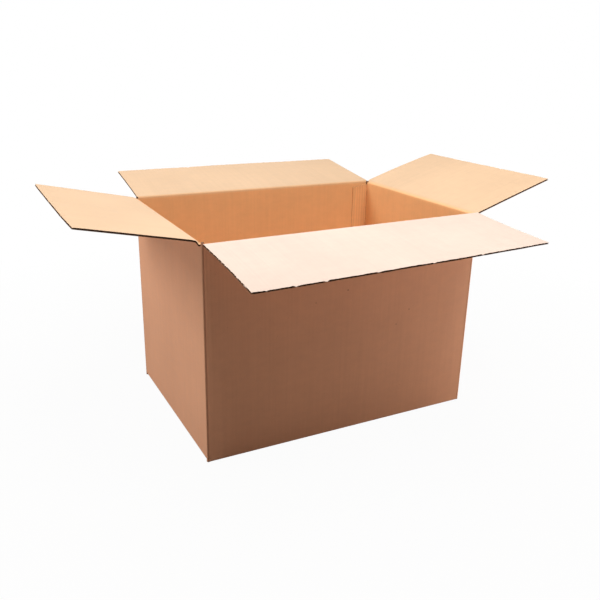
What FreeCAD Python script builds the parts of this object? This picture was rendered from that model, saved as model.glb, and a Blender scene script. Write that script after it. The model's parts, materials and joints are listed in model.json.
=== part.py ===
import FreeCAD, Part
import math
import os
import Sketcher

# Open regular slotted carton, folded from one sheet of single-wall corrugated board.
# Frame: +Z up, +X along the length, -Y the front. The origin is the centre of the base.
# All lengths are in millimetres and all angles in degrees.

DRIVING = {
    # Room inside when the carton is closed
    "inside_length": 508,
    "inside_width": 356,
    "inside_depth": 356,
    # Corrugated board
    "board": 3,
    "liner": 0.35,
    "medium": 0.25,
    "flute_pitch": 6.4,
    "crest_width": 1.3,
    # Creases between the walls and the flaps
    "crease_core": 1.2,
    "crease_play": 0.3,
    "fold_in": 90,
    "fold_out": 135,
    # Corners, slots and the layers of a closed end
    "bend_inside": 0.5,
    "lap_inset": 0.6,
    "slot_width": 5,
    "layer_play": 0.4,
    "meeting_gap": 1,
    # Glue tab of the upright joint, inside the back wall
    "tab_width": 38,
    "tab_trim": 2,
    "tab_slope": 5,
    # Hot-melt beads that hold the base closed
    "bead_length": 150,
    "bead_width": 6,
    "bead_pitch": 76,
    # How far each top flap leans out from upright
    "open_front": 95,
    "open_back": 83,
    "open_left": 77.5,
    "open_right": 72.8,
}
BEADS_PER_FLAP = 4
LEAST_CHANGE = 1

# Places worked out from the driving sizes, as expressions
INNER_X = "(Sizes.inside_length / 2)"
INNER_Y = "(Sizes.inside_width / 2)"
OUTER_X = "(%s + Sizes.board)" % INNER_X
OUTER_Y = "(%s + Sizes.board)" % INNER_Y
CREASE_X = "(%s + Sizes.board / 2)" % INNER_X
CREASE_Y = "(%s + Sizes.board / 2)" % INNER_Y
LAYER = "(Sizes.board + Sizes.layer_play)"
FLOOR_Z = "(2 * Sizes.board + Sizes.layer_play)"
ROOF_Z = "(%s + Sizes.inside_depth)" % FLOOR_Z
MINOR_CREASE_Z = "(%s + Sizes.board / 2)" % ROOF_Z
MAJOR_CREASE_Z = "(%s + %s)" % (MINOR_CREASE_Z, LAYER)
LOWER_SLOT_Z = "(%s - Sizes.board / 2)" % FLOOR_Z

# Flaps: the four share one straight cut edge in the blank, so the minor ones are a layer longer
MAJOR_SPAN = "(2 * %s - Sizes.slot_width)" % CREASE_X
MINOR_SPAN = "(2 * %s - Sizes.slot_width)" % CREASE_Y
MAJOR_REACH = "(%s - Sizes.meeting_gap / 2)" % CREASE_Y
MINOR_REACH = "(%s + %s)" % (MAJOR_REACH, LAYER)

# Crease section, measured from the crease line. The board is crushed to a core and
# bevelled on both faces, so that two bevels lie a crease_play apart when a fold ends.
HALF = "(Sizes.board / 2)"
CORE = "(Sizes.crease_core / 2)"
SOCKET = "(%s + Sizes.crease_play)" % CORE
BEVEL_IN = "(90 deg - Sizes.fold_in * 0.5 deg)"
BEVEL_OUT = "(90 deg - Sizes.fold_out * 0.5 deg)"


def bevel_depth(bevel):
    return "(%s / tan(%s) + Sizes.crease_play / 2 / sin(%s))" % (HALF, bevel, bevel)


def bevel_meets(radius, bevel):
    """Angle from the board's mid-plane at which a bevel meets a circle round the crease line."""
    return "(%s - asin(Sizes.crease_play / 2 / %s))" % (bevel, radius)


DEPTH_IN = bevel_depth(BEVEL_IN)
DEPTH_OUT = bevel_depth(BEVEL_OUT)

doc = FreeCAD.newDocument("Carton")
sheet = doc.addObject("Spreadsheet::Sheet", "Sizes")
for row, (alias, size) in enumerate(DRIVING.items(), 1):
    sheet.set("A%d" % row, alias)
    sheet.set("B%d" % row, str(size))
    sheet.setAlias("B%d" % row, alias)
doc.recompute()


# Helpers for sketches and features

def number(holder, expression):
    found = holder.evalExpression(expression)
    return float(getattr(found, "Value", found))


def new_body(label):
    body = doc.addObject("PartDesign::Body", label)
    body.Label = label
    return body


def new_sketch(body, name, role, lift=None):
    sketch = body.newObject("Sketcher::SketchObject", name)
    plane = [item for item in body.Origin.OriginFeatures if item.Role == role][0]
    sketch.AttachmentSupport = [(plane, "")]
    sketch.MapMode = "FlatFace"
    if lift:
        sketch.setExpression("AttachmentOffset.Base.z", lift)
    doc.recompute()
    return sketch


def arc_between(start, end, radius, side):
    """Arc under half a turn from start to end, with its centre on the left (1) or right (-1)."""
    chord = end - start
    left = FreeCAD.Vector(-chord.y, chord.x, 0).normalize()
    rise = math.sqrt(max(radius ** 2 - (chord.Length / 2) ** 2, 0))
    centre = (start + end) * 0.5 + left * rise * side
    first, last = (start, end) if side > 0 else (end, start)
    angles = [math.atan2(p.y - centre.y, p.x - centre.x) for p in (first, last)]
    circle = Part.Circle(centre, FreeCAD.Vector(0, 0, 1), radius)
    return Part.ArcOfCircle(circle, angles[0], angles[1])


def outline(sketch, corners):
    """Closed outline. A corner is (x, y), or (x, y, radius, side) where an arc leaves it."""
    # An edge is its number, then the numbers of its start and its end in the sketch
    points = [FreeCAD.Vector(number(sketch, c[0]), number(sketch, c[1]), 0) for c in corners]
    edges = []
    for index, corner in enumerate(corners):
        start, end = points[index], points[(index + 1) % len(points)]
        if len(corner) == 2:
            edges.append((sketch.addGeometry(Part.LineSegment(start, end)), 1, 2))
            continue
        arc = arc_between(start, end, number(sketch, corner[2]), corner[3])
        edge = sketch.addGeometry(arc)
        edges.append((edge, 1, 2) if corner[3] > 0 else (edge, 2, 1))
        fixed = sketch.addConstraint(Sketcher.Constraint("Radius", edge, arc.Radius))
        sketch.setExpression("Constraints[%d]" % fixed, corner[2])
    for index, corner in enumerate(corners):
        edge, start = edges[index][:2]
        before, end = edges[index - 1][::2]
        sketch.addConstraint(Sketcher.Constraint("Coincident", before, end, edge, start))
        for kind, place, text in (("DistanceX", points[index].x, corner[0]),
                                  ("DistanceY", points[index].y, corner[1])):
            fixed = sketch.addConstraint(Sketcher.Constraint(kind, -1, 1, edge, start, place))
            sketch.setExpression("Constraints[%d]" % fixed, text)
    return sketch


def pad(body, sketch, name, length, midplane=True):
    feature = body.newObject("PartDesign::Pad", name)
    feature.Profile = sketch
    feature.setExpression("Length", length)
    feature.Midplane = midplane
    body.Tip = feature
    doc.recompute()
    return feature


def pocket(body, sketch, name, length, midplane=True):
    before = body.Shape.Volume
    feature = body.newObject("PartDesign::Pocket", name)
    feature.Profile = sketch
    feature.setExpression("Length", length)
    feature.Midplane = midplane
    body.Tip = feature
    doc.recompute()
    if not feature.Shape.Volume < before:
        raise RuntimeError(name + " removes nothing")
    return feature


def mirrored(body, originals, name, role):
    before = body.Shape.Volume
    feature = body.newObject("PartDesign::Mirrored", name)
    feature.Originals = originals
    plane = [item for item in body.Origin.OriginFeatures if item.Role == role][0]
    feature.MirrorPlane = (plane, [""])
    body.Tip = feature
    doc.recompute()
    if abs(feature.Shape.Volume - before) < LEAST_CHANGE:
        raise RuntimeError(name + " changes nothing")
    return feature


# Carton body: four walls with their upright bends, the glue tab and the closed base

def wall_ring(body):
    """The four walls in plan. The back wall's cut end laps over the bend of the glue tab."""
    bend = "(Sizes.bend_inside + Sizes.board)"
    sketch = new_sketch(body, "wall_plan", "XY_Plane", LOWER_SLOT_Z)
    lap_x = "(%s - Sizes.lap_inset)" % OUTER_X
    tuck_bend = "((Sizes.board ^ 2 + %s ^ 2) / (2 * Sizes.board))" % bend
    outline(sketch, [
        ("%s - %s" % (OUTER_X, bend), "-" + OUTER_Y, bend, 1),
        (OUTER_X, "-(%s - %s)" % (OUTER_Y, bend)),
        (OUTER_X, "%s - %s" % (INNER_Y, bend), tuck_bend, 1),
        (INNER_X, INNER_Y),
        (lap_x, INNER_Y),
        (lap_x, OUTER_Y),
        ("-(%s - %s)" % (OUTER_X, bend), OUTER_Y, bend, 1),
        ("-" + OUTER_X, "%s - %s" % (OUTER_Y, bend)),
        ("-" + OUTER_X, "-(%s - %s)" % (OUTER_Y, bend), bend, 1),
        ("-(%s - %s)" % (OUTER_X, bend), "-" + OUTER_Y),
    ])
    inside = []
    for sign_x, sign_y, upright_first in ((1, -1, False), (1, 1, True), (-1, 1, False), (-1, -1, True)):
        near_x = ("%d * (%s - Sizes.bend_inside)" % (sign_x, INNER_X), "%d * %s" % (sign_y, INNER_Y))
        near_y = ("%d * %s" % (sign_x, INNER_X), "%d * (%s - Sizes.bend_inside)" % (sign_y, INNER_Y))
        pair = [near_y, near_x] if upright_first else [near_x, near_y]
        inside.append(pair[0] + ("Sizes.bend_inside", 1))
        inside.append(pair[1])
    outline(sketch, inside)
    pad(body, sketch, "walls", "%s - %s" % (MINOR_CREASE_Z, LOWER_SLOT_Z), midplane=False)


def base_flaps(body, name, role, mirror_role, wall_face, low, tip, span):
    """A pair of bottom flaps with the bend that joins each to its wall."""
    bend = "(Sizes.bend_inside + Sizes.board)"
    inner_face = "(%s - Sizes.board)" % wall_face
    sketch = new_sketch(body, name + "_section", role)
    wall_top = "(%s + %s)" % (LOWER_SLOT_Z, bend)
    outline(sketch, [
        ("-" + wall_face, wall_top),
        ("-" + wall_face, "%s + %s" % (low, bend), bend, 1),
        ("-(%s - %s)" % (wall_face, bend), low),
        ("-" + tip, low),
        ("-" + tip, "%s + Sizes.board" % low),
        ("-(%s - Sizes.bend_inside)" % inner_face, "%s + Sizes.board" % low, "Sizes.bend_inside", -1),
        ("-" + inner_face, "%s + %s" % (low, bend)),
        ("-" + inner_face, wall_top),
    ])
    flap = pad(body, sketch, name, span)
    mirrored(body, [flap], name + "_pair", mirror_role)


def crease_ridges(body, name, role, mirror_role, axis_at, axis_z, span):
    """The crushed and bevelled top edge of a pair of walls, ending in the core of the crease."""
    spare = "(2 * Sizes.board)"
    base_z = "(%s - %s)" % (axis_z, DEPTH_OUT)
    outer = "-(%s + %s)" % (axis_at, HALF)
    inner = "-(%s - %s)" % (axis_at, HALF)
    room = new_sketch(body, name + "_room", role)
    outline(room, [(outer, base_z), (inner, base_z), (inner, "%s + %s" % (axis_z, spare)),
                   (outer, "%s + %s" % (axis_z, spare))])
    cut = pocket(body, room, name + "_trim", span)
    angle_in = bevel_meets(CORE, BEVEL_IN)
    angle_out = bevel_meets(CORE, BEVEL_OUT)
    section = new_sketch(body, name + "_section", role)
    outline(section, [
        (outer, base_z),
        (inner, base_z),
        (inner, "%s - %s" % (axis_z, DEPTH_IN)),
        ("-(%s - %s * sin(%s))" % (axis_at, CORE, angle_in),
         "%s - %s * cos(%s)" % (axis_z, CORE, angle_in), CORE, 1),
        ("-" + axis_at, "%s + %s" % (axis_z, CORE), CORE, 1),
        ("-(%s + %s * sin(%s))" % (axis_at, CORE, angle_out),
         "%s - %s * cos(%s)" % (axis_z, CORE, angle_out)),
    ])
    ridge = pad(body, section, name, span)
    mirrored(body, [cut, ridge], name + "_pair", mirror_role)


def glue_tab(body):
    """The tab that folds in from the right wall and is glued flat inside the back wall."""
    sketch = new_sketch(body, "tab_face", "XZ_Plane", "-%s" % INNER_Y)
    low = "(%s + Sizes.tab_trim)" % FLOOR_Z
    high = "(%s - Sizes.tab_trim)" % ROOF_Z
    edge_x = "(%s - Sizes.tab_width)" % INNER_X
    outline(sketch, [
        (INNER_X, low),
        (INNER_X, high),
        (edge_x, "%s - Sizes.tab_slope" % high),
        (edge_x, "%s + Sizes.tab_slope" % low),
    ])
    before = body.Shape.Volume
    feature = pad(body, sketch, "glue_tab", "Sizes.board", midplane=False)
    if feature.Shape.Volume < before + LEAST_CHANGE:
        raise RuntimeError("the glue tab points into the back wall")


carton = new_body("carton")
wall_ring(carton)
base_flaps(carton, "outer_base", "YZ_Plane", "XZ_Plane", OUTER_Y, "0",
           "(Sizes.meeting_gap / 2)", MAJOR_SPAN)
base_flaps(carton, "inner_base", "XZ_Plane", "YZ_Plane", OUTER_X, LAYER,
           "(%s - %s)" % (CREASE_X, MINOR_REACH), MINOR_SPAN)
crease_ridges(carton, "long_crease", "YZ_Plane", "XZ_Plane", CREASE_Y, MAJOR_CREASE_Z, MAJOR_SPAN)
crease_ridges(carton, "end_crease", "XZ_Plane", "YZ_Plane", CREASE_X, MINOR_CREASE_Z, MINOR_SPAN)
glue_tab(carton)


# Top flaps. Each is drawn upright on its crease line: X along the crease, +Y its outer face.

def flute_section(body, name, across, wide_y, narrow_y, pitch, reach):
    """One open channel between a liner and the fluted medium, seen from the free edge."""
    wide = "(%s - Sizes.crest_width) / 2" % pitch
    narrow = "(Sizes.crest_width - Sizes.medium) / 2"
    sketch = new_sketch(body, name + "_section", "XY_Plane", reach)
    outline(sketch, [
        ("%s - %s" % (across, wide), wide_y),
        ("%s + %s" % (across, wide), wide_y),
        ("%s + %s" % (across, narrow), narrow_y),
        ("%s - %s" % (across, narrow), narrow_y),
    ])
    return pocket(body, sketch, name, "%s - %s - Sizes.board" % (reach, DEPTH_OUT), midplane=False)


def fluted_flap(label, span, reach):
    """Board with a crushed root, and open flutes from its free edge down to the crease."""
    body = new_body(label)
    angle_in = bevel_meets(SOCKET, BEVEL_IN)
    angle_out = bevel_meets(SOCKET, BEVEL_OUT)
    section = new_sketch(body, label + "_section", "YZ_Plane")
    outline(section, [
        ("-" + HALF, reach),
        ("-" + HALF, DEPTH_IN),
        ("-%s * sin(%s)" % (SOCKET, angle_in), "%s * cos(%s)" % (SOCKET, angle_in), SOCKET, -1),
        ("%s * sin(%s)" % (SOCKET, angle_out), "%s * cos(%s)" % (SOCKET, angle_out)),
        (HALF, DEPTH_OUT),
        (HALF, reach),
    ])
    pad(body, section, label + "_board", span)
    flutes = "round(%s / Sizes.flute_pitch - 0.5)" % span
    pitch = "(%s / (%s + 0.5))" % (span, flutes)
    near = "(%s - Sizes.liner)" % HALF
    far = "(%s - Sizes.medium)" % near
    first = flute_section(body, label + "_inner_flute", "-%s / 2 + %s / 2" % (span, pitch),
                          "-" + near, far, pitch, reach)
    second = flute_section(body, label + "_outer_flute", "-%s / 2 + %s" % (span, pitch),
                           near, "-" + far, pitch, reach)
    before = body.Shape.Volume
    row = body.newObject("PartDesign::LinearPattern", label + "_flutes")
    row.Originals = [first, second]
    row.Direction = (second.Profile[0], ["H_Axis"])
    row.setExpression("Length", "%s - 1.5 * %s" % (span, pitch))
    row.setExpression("Occurrences", flutes)
    body.Tip = row
    doc.recompute()
    if body.Shape.Volume > 0.6 * before:
        raise RuntimeError(label + " has lost its flutes")
    return body


def copied_flap(label, model):
    body = doc.addObject("PartDesign::Body", label)
    body.Label = label
    copy = doc.addObject("PartDesign::FeatureBase", label + "_copy")
    copy.BaseFeature = model
    body.Group = [copy]
    body.Tip = copy
    return body


def hang(body, x, y, z, heading, lean):
    """Stands a flap on its crease line, facing outwards, and leans it out."""
    body.setExpression("Placement", "create(<<placement>>; create(<<vector>>; %s; %s; %s); "
                       "create(<<rotation>>; %d; 0; -%s))" % (x, y, z, heading, lean))


front_flap = fluted_flap("front_flap", MAJOR_SPAN, MAJOR_REACH)
left_flap = fluted_flap("left_flap", MINOR_SPAN, MINOR_REACH)
back_flap = copied_flap("back_flap", front_flap)
right_flap = copied_flap("right_flap", left_flap)
hang(front_flap, "0", "-" + CREASE_Y, MAJOR_CREASE_Z, 180, "Sizes.open_front")
hang(back_flap, "0", CREASE_Y, MAJOR_CREASE_Z, 0, "Sizes.open_back")
hang(left_flap, "-" + CREASE_X, "0", MINOR_CREASE_Z, 90, "Sizes.open_left")
hang(right_flap, CREASE_X, "0", MINOR_CREASE_Z, -90, "Sizes.open_right")


# Glue of the base: flattened beads between the inner and the outer bottom flaps

def base_beads():
    beads = []
    free_edge = "(%s - %s)" % (CREASE_X, MINOR_REACH)
    middle = "(%s + %s) / 2" % (free_edge, INNER_X)
    for side in (-1, 1):
        for place in range(BEADS_PER_FLAP):
            bead = doc.addObject("Part::Box", "bead_%d" % (len(beads) + 1))
            bead.setExpression("Length", "Sizes.bead_length")
            bead.setExpression("Width", "Sizes.bead_width")
            bead.setExpression("Height", "Sizes.layer_play")
            step = place - (BEADS_PER_FLAP - 1) / 2
            bead.setExpression("Placement.Base.x", "%d * %s - Sizes.bead_length / 2" % (side, middle))
            bead.setExpression("Placement.Base.y", "%s * Sizes.bead_pitch - Sizes.bead_width / 2" % step)
            bead.setExpression("Placement.Base.z", "Sizes.board")
            beads.append(bead)
    group = doc.addObject("Part::Compound", "base_glue")
    group.Label = "base_glue"
    group.Links = beads
    return group


base_glue = base_beads()
doc.recompute()

# Checks, then one STEP file for each sub-part
subparts = [carton, front_flap, back_flap, left_flap, right_flap, base_glue]
for item in doc.Objects:
    if "Invalid" in item.State or "Error" in item.State:
        raise RuntimeError(item.Name + " is " + ", ".join(item.State))
for item in subparts:
    if item.Shape.isNull() or not item.Shape.isValid():
        raise RuntimeError(item.Label + " has no valid shape")
os.makedirs("parts", exist_ok=True)
for item in subparts:
    item.Shape.exportStep("parts/%s.step" % item.Label)
    box = item.Shape.BoundBox
    print("%-11s solids %d  volume %10.1f  x %.1f %.1f  y %.1f %.1f  z %.2f %.2f" % (
        item.Label, len(item.Shape.Solids), item.Shape.Volume,
        box.XMin, box.XMax, box.YMin, box.YMax, box.ZMin, box.ZMax))
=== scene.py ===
import json
import math

import bmesh
import bpy
import numpy as np
from mathutils import Matrix, Vector


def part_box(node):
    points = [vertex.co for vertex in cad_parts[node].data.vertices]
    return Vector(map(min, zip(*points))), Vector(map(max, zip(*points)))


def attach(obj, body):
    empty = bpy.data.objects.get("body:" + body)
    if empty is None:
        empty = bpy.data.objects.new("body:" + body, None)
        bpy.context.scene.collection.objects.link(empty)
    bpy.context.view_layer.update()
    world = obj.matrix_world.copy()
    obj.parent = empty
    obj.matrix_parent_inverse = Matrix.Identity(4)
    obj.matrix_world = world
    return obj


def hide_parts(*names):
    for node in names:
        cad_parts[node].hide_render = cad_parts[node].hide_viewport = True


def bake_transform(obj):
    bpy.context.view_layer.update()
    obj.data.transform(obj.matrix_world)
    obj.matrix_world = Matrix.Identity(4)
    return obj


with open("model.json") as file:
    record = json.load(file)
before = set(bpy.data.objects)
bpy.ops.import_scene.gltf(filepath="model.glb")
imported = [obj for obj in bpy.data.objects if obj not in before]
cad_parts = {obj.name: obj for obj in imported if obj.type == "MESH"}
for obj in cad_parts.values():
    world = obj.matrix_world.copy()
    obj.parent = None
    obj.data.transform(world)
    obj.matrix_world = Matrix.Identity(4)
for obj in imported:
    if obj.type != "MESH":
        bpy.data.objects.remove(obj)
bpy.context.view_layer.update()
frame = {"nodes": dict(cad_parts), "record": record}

# Sizes in metres. Outlines and creases come from the frame, the board's section from here.

MM = 0.001
BOARD = 3 * MM
LINER = 0.32 * MM
MEDIUM = 0.24 * MM
FLUTE_PITCH = 6.4 * MM
SLOT = 5 * MM
MEETING_GAP = 1 * MM
LAYER = 3.4 * MM
FLOOR = BOARD + LAYER
LAP_INSET = 0.6 * MM
TAB_WIDTH = 38 * MM
TAB_TRIM = 2 * MM
TAB_WEAR = 3.5 * MM
TAB_SLOPE = 5 * MM
BEND = 2 * MM
HALF = BOARD / 2

joints = {joint["name"]: joint for joint in frame["record"]["behaviour"]["joints"]}
outer_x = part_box("carton")[1][0]
outer_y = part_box("carton")[1][1]
major_z = joints["front_fold"]["pos_m"][2]
minor_z = joints["left_fold"]["pos_m"][2]
wall_x = outer_x - HALF
wall_y = outer_y - HALF
major_span = 2 * wall_x - SLOT
minor_span = 2 * wall_y - SLOT
major_reach = wall_y - MEETING_GAP / 2
minor_reach = major_reach + LAYER
seam_z = 355 * MM
base_seam_z = 16 * MM
UP = np.array([0.0, 0.0, 1.0])


def lean_of(joint_name):
    """How far a flap leans out from upright, in radians. Its closed stop is a right angle the other way."""
    return math.radians(-joints[joint_name]["range_deg"][0] - 90)


# Camera, at the photograph's viewing angle

CAMERA_AZIMUTH = math.radians(-27.838)
CAMERA_HEIGHT_ANGLE = math.radians(19.6)
CAMERA_ROLL = math.radians(1.266)
CAMERA_DISTANCE = 1.3098
CAMERA_TARGET = Vector((0.0009, 0.0, 0.1837))
CAMERA_LENS = 41.06


def make_camera():
    data = bpy.data.cameras.new("camera")
    data.lens = CAMERA_LENS
    data.sensor_width = 36
    camera = bpy.data.objects.new("camera", data)
    bpy.context.scene.collection.objects.link(camera)
    flat = math.cos(CAMERA_HEIGHT_ANGLE)
    back = Vector((math.sin(CAMERA_AZIMUTH) * flat, -math.cos(CAMERA_AZIMUTH) * flat,
                   math.sin(CAMERA_HEIGHT_ANGLE)))
    right = Vector((0, 0, 1)).cross(back).normalized()
    upward = back.cross(right)
    turned_right = right * math.cos(CAMERA_ROLL) + upward * math.sin(CAMERA_ROLL)
    turned_up = back.cross(turned_right)
    rows = Matrix((turned_right, turned_up, back)).transposed().to_4x4()
    camera.matrix_world = Matrix.Translation(CAMERA_TARGET + back * CAMERA_DISTANCE) @ rows
    bpy.context.scene.camera = camera


make_camera()


# Board: every piece is built as the real sheet is, from two liners and what lies between them

def rotated(vector, angle):
    c, s = np.cos(angle), np.sin(angle)
    return np.stack([vector[0] * c - vector[1] * s, vector[0] * s + vector[1] * c], -1)


def bent_line(distance, corner, heading, turn, radius):
    """A straight line with one rounded corner, by distance from the middle of the bend.
    Gives the points and the directions there. A positive turn goes left."""
    side = 1 if turn > 0 else -1
    tangent = radius * math.tan(abs(turn) / 2)
    arc = radius * abs(turn)
    heading = np.array(heading, float)
    left = np.array([-heading[1], heading[0]])
    last = rotated(heading, turn)
    corner = np.array(corner, float)
    before = np.minimum(distance + arc / 2, 0)[..., None]
    after = np.maximum(distance - arc / 2, 0)[..., None]
    swept = np.clip(distance + arc / 2, 0, arc) / radius
    forward = np.sin(swept)[..., None] * radius
    sideways = (1 - np.cos(swept))[..., None] * radius * side
    curve = heading * forward + left * sideways
    points = corner - heading * tangent + heading * before + curve + last * after
    return points, rotated(heading, swept * side)


PINCH_DROP = 0.6 * HALF
CORNER_PINCH = 0.9 * MM
PINCH_WIDTH = 1.3 * MM
# Strengths of the painted shade along the score lines and in stripes over the glue tab's flutes.
NEAR_CORNER = 2
NEAR_SCORE_SHADE = 0.42
OTHER_SCORE_SHADE = 0.2
INNER_SCORE_SHADE = 0.75
TAB_FLUTE_SHADE = 0.13
SHARP_ANGLE = math.radians(35)


class Fold:
    """Board that crosses a crease: along the crease by u, over it by s, through the board by t."""

    def __init__(self, origin, outward, along, corner, heading, turn, radius, face, side):
        self.origin = np.array(origin, float)
        self.outward = np.array(outward, float)
        self.along = np.array(along, float)
        self.line = (corner, heading, turn, radius)
        self.face = face
        self.side = side
        self.warp = lambda u, s: 0.0 * u
        self.skew = lambda u, s: 0.0 * u
        self.squeeze = lambda u, s: 1.0 + 0.0 * u
        self.crush_out = 0.0
        self.crush_in = 0.0
        self.crush_width = 3.2 * MM
        self.climb = lambda u, s: 0.0 * u
        self.blank_height = lambda s: s

    def place(self, u, s, t):
        points, direction = bent_line(s, *self.line)
        normal = np.stack([-direction[..., 1], direction[..., 0]], -1) * self.face
        dent = np.exp(-(s / self.crush_width) ** 2)
        pressed = self.squeeze(u, s)
        depth = t * (1 - dent * np.where(t > 0, self.crush_out, self.crush_in)) * pressed
        depth = depth + PINCH_DROP * (1 - pressed)
        flat = points + normal * (depth + self.warp(u, s))[..., None]
        across = self.along * (u + self.skew(u, s))[..., None]
        height = flat[..., 1:] + self.climb(u, s)[..., None]
        return self.origin + across + self.outward * flat[..., :1] + UP * height

    def blank(self, u, s):
        return np.stack([middle_of(self.side) - u, self.blank_height(s), 0.0 * u], -1)

    def crease(self, u, s, t):
        return 0.0 * u


class Ring:
    """The walls in plan, from the glue tab's free edge round to the back wall's cut end."""

    def __init__(self, start, heading, legs, radius):
        self.start = np.array(start, float)
        self.heading = np.array(heading, float)
        self.legs = legs
        self.radius = radius
        self.bulge = lambda u, z: 0.0 * u

    def place(self, u, z, t):
        """legs are the lengths from corner to corner. Every corner turns right, so outside is on the left."""
        arc = self.radius * math.pi / 2
        point = self.start
        heading = self.heading
        total = 0.0
        spot = np.zeros(u.shape + (2,))
        way = np.zeros(u.shape + (2,))
        for index, leg in enumerate(self.legs):
            last = index == len(self.legs) - 1
            from_corner = 0 if index == 0 else self.radius
            to_corner = 0 if last else self.radius
            straight = leg - from_corner - to_corner
            here = (u >= total) if last else (u >= total) & (u < total + straight + arc)
            if index == 0:
                here = here | (u < 0)
            near = point + heading * from_corner
            corner = point + heading * leg
            if last:
                found = near + heading * (u - total)[..., None]
                facing = np.broadcast_to(heading, way.shape)
            else:
                middle = total + straight + arc / 2
                found, facing = bent_line(u - middle, corner, heading, -math.pi / 2, self.radius)
            spot = np.where(here[..., None], found, spot)
            way = np.where(here[..., None], facing, way)
            total += straight + (0 if last else arc)
            point = corner
            if not last:
                heading = np.array([heading[1], -heading[0]])
        normal = np.stack([-way[..., 1], way[..., 0]], -1)
        sharper = sum(np.exp(-((u - bend) / PINCH_WIDTH) ** 2) for bend in self.corners()[:-1])
        depth = t + self.bulge(u, z) + np.where(t > 0, CORNER_PINCH * t / HALF * sharper, 0)
        flat = spot + normal * depth[..., None]
        return np.concatenate([flat, z[..., None]], -1)

    def corners(self):
        """Distance along the sheet to the middle of each corner, then the full length."""
        arc = self.radius * math.pi / 2
        found, total = [], 0.0
        for index, leg in enumerate(self.legs):
            last = index == len(self.legs) - 1
            total += leg - (0 if index == 0 else self.radius) - (0 if last else self.radius)
            found.append(total if last else total + arc / 2)
            total += arc
        return found

    def blank(self, u, z):
        return np.stack([u, z, 0.0 * u], -1)

    def crease(self, u, z, t):
        """Painted shade along the score lines of the upright corners: a dark line inside each corner and one
        just beside it outside, strongest at the front-left corner, and dark stripes over the flutes of the
        glue tab.
        """
        dark = 0.0 * u
        for number, corner in enumerate(self.corners()[:-1]):
            inside = INNER_SCORE_SHADE * np.exp(-((u - corner) / (0.9 * MM)) ** 2)
            beside = NEAR_SCORE_SHADE if number == NEAR_CORNER else OTHER_SCORE_SHADE
            outside = beside * np.exp(-((u - corner + 1.0 * MM) / (1.0 * MM)) ** 2)
            dark = dark + np.where(t > 0, outside, inside)
        flutes = TAB_FLUTE_SHADE * (0.5 + 0.5 * np.sin(2 * math.pi * u / FLUTE_PITCH)) ** 2
        return dark + np.where((u < tab_bend) & (t < HALF - LINER), flutes, 0)


# Places of the board's materials in its pieces' slots.
OUTER, INNER, CUT, FLUTE = range(4)


class Board:
    """Collects closed slabs of one piece and makes its mesh."""

    def __init__(self, name):
        self.name = name
        self.points = []
        self.blanks = []
        self.creases = []
        self.faces = []
        self.slots = []
        self.count = 0

    def slab(self, form, us, ss, low, high, low_slot=CUT, high_slot=CUT, side_slot=CUT):
        """A closed layer between two depths of the sheet. us and ss are values or a pair of grids."""
        u, s = np.meshgrid(us, ss, indexing="ij") if np.ndim(us) == 1 else (us, ss)
        t_low = low(u, s) if callable(low) else np.full(u.shape, low)
        t_high = high(u, s) if callable(high) else np.full(u.shape, high)
        rows, columns = u.shape
        for t in (t_low, t_high):
            self.points.append(form.place(u, s, t).reshape(-1, 3))
            self.blanks.append(form.blank(u, s).reshape(-1, 3))
            self.creases.append(form.crease(u, s, t).reshape(-1))
        index = np.arange(rows * columns).reshape(rows, columns) + self.count
        other = index + rows * columns
        self.count += 2 * rows * columns
        near = np.stack([index[:-1, :-1], index[:-1, 1:], index[1:, 1:], index[1:, :-1]], -1)
        far = np.stack([other[:-1, :-1], other[1:, :-1], other[1:, 1:], other[:-1, 1:]], -1)
        rim = np.concatenate([index[:-1, 0], index[-1, :-1], index[1:, -1][::-1], index[0, 1:][::-1]])
        rim_next = np.roll(rim, -1)
        offset = rows * columns
        sides = np.stack([rim, rim_next, rim_next + offset, rim + offset], -1)
        for faces, slot in ((near, low_slot), (far, high_slot), (sides, side_slot)):
            quads = faces.reshape(-1, 4)
            self.faces.append(quads)
            self.slots.append(np.full(len(quads), slot))

    def finish(self, body=None):
        points = np.concatenate(self.points)
        faces = np.concatenate(self.faces)
        mesh = bpy.data.meshes.new(self.name)
        mesh.from_pydata(points.tolist(), [], faces.tolist())
        for material in BOARD_MATERIALS:
            mesh.materials.append(material)
        mesh.polygons.foreach_set("material_index", np.concatenate(self.slots).astype(np.int32))
        store = mesh.attributes.new("blank", "FLOAT_VECTOR", "POINT")
        store.data.foreach_set("vector", np.concatenate(self.blanks).astype(np.float32).ravel())
        # The crease attribute holds how much painted shade each point gets.
        dark = mesh.attributes.new("crease", "FLOAT", "POINT")
        dark.data.foreach_set("value", np.concatenate(self.creases).astype(np.float32))
        shape = bmesh.new()
        shape.from_mesh(mesh)
        bmesh.ops.recalc_face_normals(shape, faces=shape.faces)
        shape.to_mesh(mesh)
        shape.free()
        mesh.polygons.foreach_set("use_smooth", np.ones(len(faces), bool))
        mesh.set_sharp_from_angle(angle=SHARP_ANGLE)
        mesh.validate()
        mesh.update()
        piece = bpy.data.objects.new(self.name, mesh)
        bpy.context.scene.collection.objects.link(piece)
        if body:
            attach(piece, body)
        return piece


def steps(*stretches):
    """Sorted places along a line. A stretch is (start, end, count)."""
    return np.unique(np.round(np.concatenate([np.linspace(a, b, n) for a, b, n in stretches]), 7))


OPEN_DEPTH = 11 * MM
SIDE_GROOVE = 0.5 * MM
OVERLAP = 0.02 * MM


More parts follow.
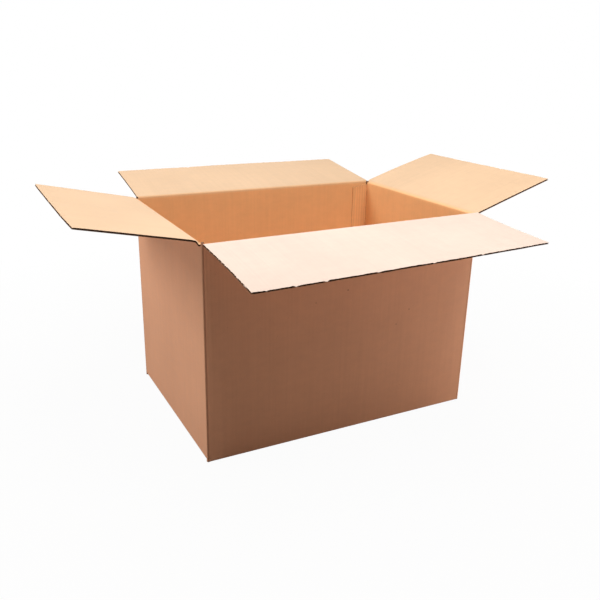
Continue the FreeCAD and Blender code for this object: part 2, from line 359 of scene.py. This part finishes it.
def layers(board, form, us, ss, free_edge=None, grooves=True):
    """Two liners and the core between them. At a free edge the core stands back and shows the flutes."""
    board.slab(form, us, ss, HALF - LINER, HALF, CUT, OUTER)
    board.slab(form, us, ss, -HALF, -HALF + LINER, INNER, CUT)
    inset = SIDE_GROOVE if grooves else 0.0
    core_u = np.clip(us, us[0] + inset, us[-1] - inset)
    core_s = ss if free_edge is None else np.append(ss[ss < free_edge - OPEN_DEPTH], free_edge - OPEN_DEPTH)
    core = HALF - LINER + OVERLAP
    board.slab(form, np.unique(core_u), core_s, -core, core, FLUTE, FLUTE, FLUTE)
    if free_edge is None:
        return
    swing = HALF - LINER - MEDIUM / 2 + OVERLAP
    count = max(1, int(round((us[-1] - us[0]) / FLUTE_PITCH)))
    pitch = (us[-1] - us[0]) / count
    wave_u = np.linspace(us[0] + inset, us[-1] - inset, count * 10 + 1)

    def wave(u, side):
        return swing * np.clip(1.25 * np.sin(2 * math.pi * u / pitch), -1, 1) + side * MEDIUM / 2

    board.slab(form, wave_u, np.array([free_edge - OPEN_DEPTH, free_edge - 0.3 * MM]),
               lambda u, s: wave(u, -1), lambda u, s: wave(u, 1), FLUTE, FLUTE, FLUTE)


def shreds(board, form, edge_u, start, end, count, seed):
    """Torn bits of liner along a side edge that a blunt knife has cut."""
    rng = np.random.default_rng(seed)
    side = math.copysign(1, edge_u)
    for _ in range(count):
        middle = rng.uniform(start, end)
        width = rng.uniform(0.8, 3) * MM
        length = rng.uniform(0.3, 1.3) * MM
        lean = rng.uniform(-1, 1) * MM
        droop = rng.uniform(0, 0.6)
        level, slot = (HALF - LINER, CUT) if rng.random() < 0.5 else (-HALF, INNER)
        root, tip = edge_u - side * 0.4 * MM, edge_u + side * length
        u = np.array([[root, root], [tip, tip]])
        s = np.array([[middle - width / 2, middle + width / 2],
                      [middle + lean - width * 0.12, middle + lean + width * 0.12]])
        board.slab(form, u, s, lambda a, b: level + droop * np.abs(a - root),
                   lambda a, b: level + LINER * 0.6 + droop * np.abs(a - root), slot, CUT, slot)


# Layout of the blank: the walls in plan, and how far along the sheet each corner lies

tab_y = wall_y - BOARD
tab_start = wall_x - HALF - TAB_WIDTH
walls = Ring((tab_start, tab_y), (1, 0),
             [wall_x - tab_start, tab_y + wall_y, 2 * wall_x, 2 * wall_y, wall_x + outer_x - LAP_INSET],
             BEND)
tab_bend, front_right, front_left, back_left, wall_end = walls.corners()
bend_arc = BEND * math.pi / 2
panels = {"right": (tab_bend, front_right), "front": (front_right, front_left),
          "left": (front_left, back_left), "back": (back_left, wall_end)}


def middle_of(side):
    """How far along the sheet the middle of a wall lies."""
    return sum(panels[side]) / 2


# Materials

def linear(red, green, blue):
    """An sRGB colour of 0 to 255 as linear values."""
    values = []
    for channel in (red, green, blue):
        c = channel / 255
        values.append(c / 12.92 if c <= 0.04045 else ((c + 0.055) / 1.055) ** 2.4)
    return (*values, 1)


class Nodes:
    """Short calls for building a material's nodes."""

    def __init__(self, name):
        self.material = bpy.data.materials.new(name)
        self.material.use_nodes = True
        self.tree = self.material.node_tree
        self.shader = self.tree.nodes["Principled BSDF"]
        self.shader.inputs["Specular IOR Level"].default_value = 0.25

    def add(self, kind, **settings):
        node = self.tree.nodes.new(kind)
        for key, value in settings.items():
            setattr(node, key, value)
        return node

    def link(self, source, target):
        self.tree.links.new(source, target)

    def feed(self, socket, value):
        if isinstance(value, bpy.types.NodeSocket):
            self.link(value, socket)
        else:
            socket.default_value = value

    def sheet_position(self):
        """Where a point lies on the flat blank: across the flutes, then along them."""
        return self.add("ShaderNodeAttribute", attribute_name="blank").outputs["Vector"]

    def math(self, operation, first, second=0.0, third=0.0):
        node = self.add("ShaderNodeMath", operation=operation)
        for socket, value in zip(node.inputs, (first, second, third)):
            self.feed(socket, value)
        return node.outputs[0]

    def scaled(self, vector, by):
        node = self.add("ShaderNodeVectorMath", operation="MULTIPLY")
        self.link(vector, node.inputs[0])
        node.inputs[1].default_value = by
        return node.outputs[0]

    def noise(self, vector, scale, detail=3.0, roughness=0.55):
        node = self.add("ShaderNodeTexNoise")
        self.link(vector, node.inputs["Vector"])
        node.inputs["Scale"].default_value = scale
        node.inputs["Detail"].default_value = detail
        node.inputs["Roughness"].default_value = roughness
        return node.outputs["Fac"]

    def ramp(self, value, low, high, to_low=0.0, to_high=1.0):
        node = self.add("ShaderNodeMapRange")
        for key, number in (("From Min", low), ("From Max", high), ("To Min", to_low), ("To Max", to_high)):
            node.inputs[key].default_value = number
        self.link(value, node.inputs["Value"])
        return node.outputs["Result"]

    def mix(self, factor, first, second):
        node = self.add("ShaderNodeMix", data_type="RGBA")
        self.feed(node.inputs["Factor"], factor)
        self.feed(node.inputs[6], first)
        self.feed(node.inputs[7], second)
        return node.outputs[2]

    def bump(self, height, distance, strength=1.0):
        node = self.add("ShaderNodeBump")
        node.inputs["Distance"].default_value = distance
        node.inputs["Strength"].default_value = strength
        self.link(height, node.inputs["Height"])
        self.link(node.outputs["Normal"], self.shader.inputs["Normal"])


FLECK_BROWN = linear(84, 50, 30)
# Colour of the painted shade along the score lines and on the glue tab.
SCORE_SHADE_BROWN = linear(112, 62, 34)


def kraft(name, shade, washboard, specks, painted_flap_light=None, painted_front_flap_light=None, spots=()):
    """Kraft liner: fibres along the machine direction, cloudy pulp, and the flutes showing through faintly.
    The flaps' faces are painted paler from their creases up, and the front flap paler still: painted light,
    for the light from above that falls on the flaps and not on the walls inside.
    spots are dark specks on the front wall, each with x, z and radius."""
    made = Nodes(name)
    place = made.sheet_position()
    split = made.add("ShaderNodeSeparateXYZ")
    made.link(place, split.inputs[0])
    across, height, _ = split.outputs
    fibres = made.noise(made.scaled(place, (0.35, 1.0, 1.0)), 1400, 4, 0.65)
    clouds = made.noise(made.scaled(place, (0.6, 1.0, 1.0)), 75, 4, 0.6)
    drift = made.noise(place, 7, 2, 0.5)
    wave = made.math("SINE", made.math("MULTIPLY", across, 2 * math.pi / FLUTE_PITCH))
    uneven = made.ramp(made.noise(made.scaled(place, (60.0, 5.0, 1.0)), 1.0, 3, 0.6), 0.4, 0.8)
    flutes = made.math("MULTIPLY", wave, uneven)
    streaks = made.noise(made.scaled(place, (150.0, 4.0, 1.0)), 1.0, 3, 0.6)
    tone = 0.5
    for pattern, share in ((fibres, 0.55), (clouds, 0.6), (drift, 0.7), (streaks, 0.5)):
        tone = made.math("MULTIPLY_ADD", made.math("SUBTRACT", pattern, 0.5), share, tone)
    tone = made.math("MULTIPLY_ADD", flutes, washboard, tone)
    colour = toned(made, tone, shade)
    # Painted light: from the creases up the flaps' faces take a paler copy of the colour than the walls
    # inside.
    if painted_flap_light:
        beyond = made.ramp(height, minor_z - 1 * MM, major_z + 3 * MM)
        colour = made.mix(beyond, colour, toned(made, tone, painted_flap_light))
    # Painted light: the front flap paler still, for the brighter light it gets.
    if painted_front_flap_light:
        off_middle = made.math("ABSOLUTE", made.math("SUBTRACT", across, middle_of("front")))
        front_flap_light_mask = made.math("LESS_THAN", off_middle, wall_x)
        colour = made.mix(made.math("MULTIPLY", beyond, front_flap_light_mask), colour, toned(made, tone, painted_front_flap_light))
    flecks = made.noise(made.scaled(place, (0.7, 1.0, 1.0)), 420, 2, 0.5)
    spot = made.ramp(flecks, 0.74, 0.80, 0.0, specks)
    for x, z, radius in spots:
        away = made.add("ShaderNodeVectorMath", operation="DISTANCE")
        made.link(place, away.inputs[0])
        away.inputs[1].default_value = (middle_of("front") - x, z, 0)
        spot = made.math("MAXIMUM", spot, made.ramp(away.outputs["Value"], radius, radius * 0.5))
    colour = made.mix(spot, colour, FLECK_BROWN)
    # Painted shade: darker along the score lines and in stripes on the glue tab, by the crease attribute.
    crease = made.add("ShaderNodeAttribute", attribute_name="crease").outputs["Fac"]
    colour = made.mix(crease, colour, SCORE_SHADE_BROWN)
    made.link(colour, made.shader.inputs["Base Color"])
    made.link(made.ramp(clouds, 0.3, 0.7, 0.72, 0.86), made.shader.inputs["Roughness"])
    relief = made.math("MULTIPLY_ADD", flutes, 1.0, made.math("MULTIPLY", fibres, 0.35))
    made.bump(relief, 0.03 * MM)
    return made.material


def toned(made, tone, shade):
    """A colour that swings a little lighter and darker with the tone."""
    darker = linear(*(channel * 0.945 for channel in shade))
    lighter = linear(*(min(channel * 1.05, 255) for channel in shade))
    return made.mix(made.ramp(tone, 0.0, 1.0), darker, lighter)


def cut_paper(name, light, dark):
    """Raw cut paper: short torn fibres. Darker than the liners: the cut edge partly by the raw paper's own
    colour and partly as painted shade on the dark edge lines, the flute paper far darker as painted shade in
    the hollows of the open flutes.
    """
    made = Nodes(name)
    place = made.add("ShaderNodeTexCoord").outputs["Object"]
    fibres = made.noise(place, 2600, 3, 0.7)
    clouds = made.noise(place, 160, 3, 0.6)
    tone = made.math("MULTIPLY_ADD", made.math("SUBTRACT", clouds, 0.5), 0.9, fibres)
    made.link(made.mix(made.ramp(tone, 0.3, 0.7), linear(*dark), linear(*light)),
              made.shader.inputs["Base Color"])
    made.shader.inputs["Roughness"].default_value = 0.9
    made.bump(fibres, 0.08 * MM)
    return made.material


def hot_melt(name):
    """Flattened hot-melt glue, amber with cloudy patches."""
    made = Nodes(name)
    place = made.add("ShaderNodeTexCoord").outputs["Object"]
    clouds = made.noise(place, 220, 3, 0.6)
    amber = made.mix(clouds, linear(206, 178, 120), linear(232, 214, 170))
    made.link(amber, made.shader.inputs["Base Color"])
    made.link(made.ramp(clouds, 0.3, 0.7, 0.3, 0.5), made.shader.inputs["Roughness"])
    made.bump(clouds, 0.05 * MM)
    return made.material


SPOTS = [(-0.0057, 0.2613, 1.3 * MM), (0.1222, 0.2082, 1.1 * MM), (0.0965, 0.1841, 1.0 * MM),
         (-0.0654, 0.2474, 0.9 * MM)]
BOARD_MATERIALS = [
    kraft("outer_liner", (206, 151, 117), 0.035, 0.75, spots=SPOTS),
    # Painted light: the inner liner's paler colours on the flaps, and paler still on the front flap.
    kraft("inner_liner", (231, 176, 121), 0.05, 0.45, painted_flap_light=(211, 178, 144),
          painted_front_flap_light=(216, 194, 179)),
    # The cut edge's darkness is partly painted shade; the flute paper's near-black is painted shade in the
    # open flutes.
    cut_paper("cut_edge", (160, 115, 81), (110, 74, 48)),
    cut_paper("flute_paper", (72, 46, 30), (44, 28, 18)),
]


# Top flaps, each one sheet with the upper edge of its wall, bending over the crease

CREASE_RADIUS = 1.9 * MM
SHORTER = 0.7 * MM
CREASE_ZONE = (-7 * MM, 10 * MM)
SHRED_SEED = 4


def ripple(u, seed, length):
    """Smooth uneven variation between about -1 and 1, the same on each run."""
    return (np.sin(u / length * 2.1 + seed) + 0.6 * np.sin(u / length * 4.7 + seed * 2.3)
            + 0.4 * np.sin(u / length * 9.3 + seed * 1.7)) / 2


def smooth(value, low, high):
    share = np.clip((value - low) / (high - low), 0, 1)
    return share * share * (3 - 2 * share)


def flap(name, joint, side, outward, along, span, reach, **shape):
    """A top flap and the strip of wall under its crease. shape holds its warp in mm. Pairs are for its two
    ends, the one at the start of along first: lift at the free corners, rise just past the root, arch half
    way and tilt of the crease. Single values are sag of the free edge's middle, its slide, its taper and the
    flare of the root. nicks are dents of the free edge and curls dents of the root, each with its place.
    frayed says which ends are frayed, and from where."""
    origin = joints[joint]["pos_m"]
    lean = lean_of(joint)
    outward, along = np.array(outward, float), np.array(along, float)
    fold = Fold(origin, outward, along, (0, 0), (0, 1), -lean, CREASE_RADIUS, -1, side)
    arc = CREASE_RADIUS * lean
    edge = reach - SHORTER - CREASE_RADIUS * math.tan(lean / 2) + arc / 2
    start = -(origin[2] - seam_z) + CREASE_RADIUS * math.tan(lean / 2) - arc / 2
    half_span = span / 2
    seed = len(name) + reach * 100

    def between(pair, u):
        across = u / half_span
        return pair[0] * (1 - across) / 2 + pair[1] * (1 + across) / 2

    def warp(u, s):
        out = np.clip(s / edge, 0, 1)
        lift = between(shape.get("lift", (0, 0)), u) + shape.get("sag", 0) * (1 - (u / half_span) ** 2)
        rise = between(shape.get("rise", (0, 0)), u) * smooth(s, 0, 10 * MM) * (1 - out)
        arch = between(shape.get("arch", (0, 0)), u) * np.sin(math.pi * out)
        wave = 0.35 * ripple(u, seed, 0.09) * out ** 2
        curl = 0.0 * u
        for place, depth in shape.get("curls", ()):
            curl = curl + depth * np.exp(-((u - place) / (4 * MM)) ** 2 - ((s - 4 * MM) / (5 * MM)) ** 2)
        return -(lift * out ** 1.6 + rise + arch + wave + curl) * MM

    def squeeze(u, s):
        near = np.exp(-np.clip(edge - s, 0, None) / (5 * MM))
        dents = 0.12 + 0.10 * ripple(u, seed * 3.1, 0.021) + 0.08 * ripple(u, seed, 0.006)
        for centre, width, depth in shape.get("nicks", ()):
            dents = dents + depth * np.exp(-((u - centre) / (width * MM)) ** 2)
        return 1 - np.clip(dents, 0, 0.9) * near

    flare, taper = shape.get("flare", 0.7), shape.get("taper", 0)

    def skew(u, s):
        out = np.clip(s / edge, 0, 1)
        return (shape.get("slide", 0) * out
                + u / half_span * (flare * smooth(s, -1 * MM, 2 * MM) * (1 - out) ** 2 - taper * out)) * MM

    def climb(u, s):
        out = np.clip(s / edge, 0, 1)
        return between(shape.get("tilt", (0, 0)), u) * smooth(s, start, 0) * (1 - out) * MM

    fold.warp = warp
    fold.squeeze = squeeze
    fold.skew = skew
    fold.climb = climb
    fold.crush_out = 0.55
    fold.crush_in = 0.22
    fold.blank_height = lambda s: origin[2] + s
    us = steps((-half_span, half_span, 201), (-half_span, -half_span + SIDE_GROOVE, 2),
               (half_span - SIDE_GROOVE, half_span, 2))
    before, beyond = CREASE_ZONE
    ss = steps((start, before, 4), (before, beyond, 35), (beyond, edge - OPEN_DEPTH, 22),
               (edge - OPEN_DEPTH, edge, 5))
    board = Board(name + "_board")
    layers(board, fold, us, ss, free_edge=edge)
    for end, count in shape.get("frayed", ()):
        shreds(board, fold, end * half_span, 3 * MM, edge - 3 * MM, count, SHRED_SEED)
    piece = board.finish()
    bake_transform(piece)
    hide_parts(name)
    return piece


flap("front_flap", "front_fold", "front", (0, -1, 0), (1, 0, 0), major_span, major_reach,
     lift=(-6.4, 6.3), sag=-0.8, slide=-4.6, flare=2.2, taper=2.2, tilt=(-3, 1.6), frayed=[(-1, 60)],
     nicks=[(-0.190, 2.6, 0.8), (-0.145, 2.2, 0.85), (-0.232, 1.5, 0.5), (-0.063, 3, 0.5), (0.031, 2, 0.6),
            (0.12, 2.5, 0.5)])
flap("back_flap", "back_fold", "back", (0, 1, 0), (-1, 0, 0), major_span, major_reach,
     lift=(1, -1), sag=0.6, slide=-5.5, flare=2.2, nicks=[(0.1, 3, 0.5)])
flap("left_flap", "left_fold", "left", (-1, 0, 0), (0, -1, 0), minor_span, minor_reach,
     lift=(-0.4, 0.2), sag=-1.5, rise=(1.5, 4), slide=-1.5, taper=1.5, curls=[(minor_span / 2, -3)],
     nicks=[(-0.02, 3, 0.5), (0.09, 2, 0.6)])
flap("right_flap", "right_fold", "right", (1, 0, 0), (0, 1, 0), minor_span, minor_reach,
     lift=(-1, -0.3), sag=-0.5, rise=(1.5, 2.5), arch=(0, 1.5), slide=6.5, nicks=[(-0.05, 2, 0.6)])


# Walls: the blank's strip from the glue tab round to the back wall's cut end

def wall_bulge(u, z):
    """The long panels stand out a little between their corners, as unfilled walls do."""
    height = np.sin(math.pi * np.clip(z / major_z, 0, 1))
    out = 0.0 * u
    ends = [tab_bend, front_right, front_left, back_left, wall_end]
    for a, b, depth in zip(ends, ends[1:], (0.5, 0.9, 0.5, 0.0)):
        share = np.clip((u - a) / (b - a), 0, 1)
        out = out + depth * MM * np.sin(math.pi * share) ** 2 * height
    return out


walls.bulge = wall_bulge


def wall_strip():
    board = Board("wall_board")
    bends = [(c - 5 * MM, c + 5 * MM, 33) for c in (front_right, front_left, back_left)]
    runs = [(a, b, 16) for a, b in panels.values()]
    us = steps((tab_bend, tab_bend + 5 * MM, 17), *bends, *runs)
    layers(board, walls, us, steps((base_seam_z, seam_z, 17)))
    return board


def corner_posts(board):
    """The strips of wall between the flaps, up to the bottom of each slot and down to the base."""
    reach = BEND * math.pi / 4 + SLOT / 2 - BEND
    ends = [(c - reach, c + reach) for c in (front_right, front_left, back_left)]
    ends.append((tab_bend - bend_arc / 2, tab_bend + reach))
    ends.append((wall_end - outer_x + LAP_INSET + major_span / 2, wall_end))
    for start, end in ends:
        us = steps((start, end, 9))
        layers(board, walls, us, np.array([seam_z, major_z]), grooves=False)
        layers(board, walls, us, np.array([1.5 * MM, base_seam_z]), grooves=False)


def glue_tab(board):
    """The tab that the right wall bends into, flattened thin along its free edge by the gluing press."""
    flat_end = tab_bend - bend_arc / 2
    full_from = 9 * MM
    us = steps((TAB_WEAR, full_from, 7), (full_from, flat_end, 33), (flat_end, tab_bend, 7))
    u, share = np.meshgrid(us, np.linspace(0, 1, 9), indexing="ij")
    slope = TAB_SLOPE * (1 - np.clip(u / flat_end, 0, 1))
    low = FLOOR + TAB_TRIM + slope
    high = minor_z - HALF - TAB_TRIM - slope
    z = low + (high - low) * share

    def thick(a):
        flutes = 0.12 * MM * np.sin(2 * math.pi * a / FLUTE_PITCH)
        return BOARD * (0.5 + 0.45 * smooth(a, TAB_WEAR, full_from)) + flutes

    face = HALF - thick(u)
    board.slab(walls, u, z, HALF - LINER, HALF, INNER, OUTER, INNER)
    board.slab(walls, u, z, lambda a, b: face, lambda a, b: face + LINER, INNER, INNER, INNER)
    board.slab(walls, u, z, lambda a, b: face + LINER - OVERLAP, HALF - LINER + OVERLAP, INNER, INNER, CUT)


wall_sheet = wall_strip()
corner_posts(wall_sheet)
glue_tab(wall_sheet)
wall_piece = wall_sheet.finish("box")
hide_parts("carton")


# Base: four bottom flaps in two layers, each one sheet with the lower edge of its wall

def base_flap(side, outward, along, wall, low, span, reach):
    fold = Fold((0, 0, 0), outward, along, (wall, low + HALF), (0, -1), -math.pi / 2, BEND, 1, side)
    fold.blank_height = lambda s: -s
    arc = BEND * math.pi / 2
    start = -(base_seam_z - low - HALF) + BEND - arc / 2
    edge = reach - BEND + arc / 2
    half_span = span / 2
    us = steps((-half_span, half_span, 21), (-half_span, -half_span + SIDE_GROOVE, 2),
               (half_span - SIDE_GROOVE, half_span, 2))
    ss = steps((start, -4 * MM, 3), (-4 * MM, 4 * MM, 17), (4 * MM, edge - OPEN_DEPTH, 10),
               (edge - OPEN_DEPTH, edge, 2))
    board = Board("base_" + side)
    layers(board, fold, us, ss, free_edge=edge)
    piece = board.finish("box")
    return piece


base_flap("front", (0, -1, 0), (1, 0, 0), wall_y, 0.0, major_span, major_reach)
base_flap("back", (0, 1, 0), (-1, 0, 0), wall_y, 0.0, major_span, major_reach)
base_flap("left", (-1, 0, 0), (0, -1, 0), wall_x, LAYER, minor_span, minor_reach)
base_flap("right", (1, 0, 0), (0, 1, 0), wall_x, LAYER, minor_span, minor_reach)
frame["nodes"]["base_glue"].data.materials.clear()
frame["nodes"]["base_glue"].data.materials.append(hot_melt("hot_melt_glue"))


# Studio: white floor and background, soft lamps above, behind and to both sides

FLOOR_GREY = (0.38, 0.35, 0.33, 1)
SHADOW_REACH = (0.4, 1.2)
SHADOW_WHITE = 0.965
SOFT_LIGHT = 0.02


def make_floor():
    mesh = bpy.data.meshes.new("floor")
    size = 12.0
    corners = [(-size, -size, 0), (size, -size, 0), (size, size, 0), (-size, size, 0)]
    mesh.from_pydata(corners, [], [(0, 1, 2, 3)])
    floor = bpy.data.objects.new("floor", mesh)
    bpy.context.scene.collection.objects.link(floor)
    floor.location.z = -0.1 * MM
    made = Nodes("floor_white")
    made.shader.inputs["Base Color"].default_value = FLOOR_GREY
    made.shader.inputs["Roughness"].default_value = 1.0
    glow = made.add("ShaderNodeEmission")
    glow.inputs["Color"].default_value = (1, 1, 1, 1)
    path = made.add("ShaderNodeLightPath")
    seen = made.math("MAXIMUM", path.outputs["Is Camera Ray"],
                     made.math("MAXIMUM", path.outputs["Is Glossy Ray"], path.outputs["Is Transmission Ray"]))
    blend = made.add("ShaderNodeMixShader")
    away = made.add("ShaderNodeVectorMath", operation="LENGTH")
    made.link(made.add("ShaderNodeTexCoord").outputs["Object"], away.inputs[0])
    share = made.ramp(away.outputs["Value"], *SHADOW_REACH, SHADOW_WHITE, 1.0)
    made.link(made.math("MULTIPLY", seen, share), blend.inputs[0])
    made.link(made.shader.outputs[0], blend.inputs[1])
    made.link(glow.outputs[0], blend.inputs[2])
    output = next(node for node in made.tree.nodes if node.type == "OUTPUT_MATERIAL")
    made.link(blend.outputs[0], output.inputs["Surface"])
    mesh.materials.append(made.material)


def make_world():
    world = bpy.data.worlds.new("studio")
    bpy.context.scene.world = world
    world.use_nodes = True
    tree = world.node_tree
    tree.nodes.clear()
    soft = tree.nodes.new("ShaderNodeBackground")
    soft.inputs["Color"].default_value = (1.0, 0.98, 0.96, 1)
    soft.inputs["Strength"].default_value = SOFT_LIGHT
    white = tree.nodes.new("ShaderNodeBackground")
    white.inputs["Color"].default_value = (1, 1, 1, 1)
    white.inputs["Strength"].default_value = 1.0
    path = tree.nodes.new("ShaderNodeLightPath")
    seen = tree.nodes.new("ShaderNodeMath")
    seen.operation = "MAXIMUM"
    tree.links.new(path.outputs["Is Camera Ray"], seen.inputs[0])
    tree.links.new(path.outputs["Is Glossy Ray"], seen.inputs[1])
    through = tree.nodes.new("ShaderNodeMath")
    through.operation = "MAXIMUM"
    tree.links.new(seen.outputs[0], through.inputs[0])
    tree.links.new(path.outputs["Is Transmission Ray"], through.inputs[1])
    mix = tree.nodes.new("ShaderNodeMixShader")
    output = tree.nodes.new("ShaderNodeOutputWorld")
    tree.links.new(through.outputs[0], mix.inputs[0])
    tree.links.new(soft.outputs[0], mix.inputs[1])
    tree.links.new(white.outputs[0], mix.inputs[2])
    tree.links.new(mix.outputs[0], output.inputs["Surface"])


def area_light(name, place, size, watts, colour=(1, 1, 1)):
    data = bpy.data.lights.new(name, "AREA")
    data.shape = "SQUARE"
    data.size = size
    data.energy = watts
    data.color = colour
    light = bpy.data.objects.new(name, data)
    bpy.context.scene.collection.objects.link(light)
    light.location = place
    light.visible_camera = False
    light.rotation_mode = "QUATERNION"
    light.rotation_quaternion = (Vector((0, 0, 0.25)) - Vector(place)).to_track_quat("-Z", "Y")


make_floor()
make_world()
area_light("overhead", (0.07, -0.5, 1.68), 1.0, 28)
area_light("left_high", (-1.45, 0.6, 1.15), 0.6, 15)
area_light("left_low", (-1.7, 0.15, 0.45), 0.6, 6.5)
area_light("right_side", (1.0, -0.5, 0.2), 0.4, 7.6, (1, 0.88, 0.82))
area_light("behind", (0.5, 1.7, 1.0), 1.0, 10)
bpy.context.scene.view_settings.view_transform = "Standard"
